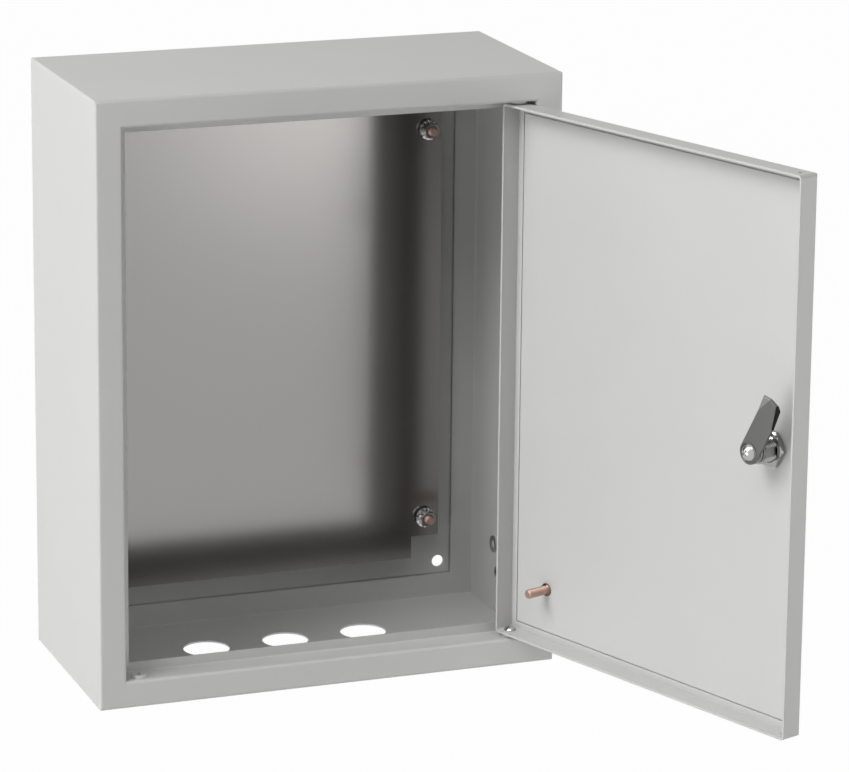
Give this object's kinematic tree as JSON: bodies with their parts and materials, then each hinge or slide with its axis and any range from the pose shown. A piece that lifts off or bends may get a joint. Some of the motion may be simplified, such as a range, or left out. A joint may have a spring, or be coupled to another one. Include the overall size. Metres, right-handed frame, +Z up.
{
  "type": "wall enclosure",
  "caption": "Steel wall enclosure with an inset hinged door on pin hinges, a cam lock, a mounting plate on weld studs and cable entries in the floor.",
  "frame": {"origin": "centre of the four wall fixings, on the back plane that rests on the wall", "axes": "+X to the right of somebody facing the door, +Y into the wall, +Z up; the hinge axis is along Z"},
  "size_m": [0.3775, 0.3901, 0.395],
  "materials": {
    "powder_coat": "light grey powder coat, satin",
    "galvanised_plate": "galvanised sheet, satin",
    "copper_plated_stud": "copper-plated steel weld stud",
    "nickel_plated_lock": "nickel-plated zinc die casting",
    "rubber_seal": "matt black rubber",
    "zinc_plated_cam": "zinc-plated steel strip",
    "zinc_plated_fixing": "bright zinc-plated steel"
  },
  "bodies": {
    "enclosure": {"body_bottom": "powder_coat", "body_top": "powder_coat", "body_left": "powder_coat", "body_right": "powder_coat", "back_panel": "powder_coat", "mounting_plate": "galvanised_plate", "stud_top_left": "copper_plated_stud", "stud_top_right": "copper_plated_stud", "stud_bottom_left": "copper_plated_stud", "stud_bottom_right": "copper_plated_stud", "spacer_top_left": "zinc_plated_fixing", "spacer_top_right": "zinc_plated_fixing", "spacer_bottom_left": "zinc_plated_fixing", "spacer_bottom_right": "zinc_plated_fixing", "nut_top_left": "zinc_plated_fixing", "nut_top_right": "zinc_plated_fixing", "nut_bottom_left": "zinc_plated_fixing", "nut_bottom_right": "zinc_plated_fixing", "side_ring": "zinc_plated_fixing", "side_rivet_nut": "zinc_plated_fixing", "body_earth_stud": "copper_plated_stud", "hinge_screw_lower": "zinc_plated_fixing", "hinge_screw_upper": "zinc_plated_fixing"},
    "door": {"door_pan": "powder_coat", "door_earth_stud": "copper_plated_stud", "lock_barrel": "nickel_plated_lock", "lock_seal": "rubber_seal", "lock_nut": "nickel_plated_lock"},
    "lock_rotor": {"lock_rotor": "nickel_plated_lock", "cam_washer": "nickel_plated_lock", "cam_lever": "zinc_plated_cam", "cam_screw": "zinc_plated_fixing"}
  },
  "joints": [
    {"name": "door_hinge", "type": "hinge", "parent": "enclosure", "child": "door", "pos_m": [0.12705, -0.1428, 0], "axis": [0, 0, 1], "range_deg": [-110, 1]},
    {"name": "lock_turn", "type": "hinge", "parent": "door", "child": "lock_rotor", "pos_m": [0.2125, -0.35651, 0.001], "axis": [0.9397, 0.342, 0], "range_deg": [-27, 63]}
  ]
}
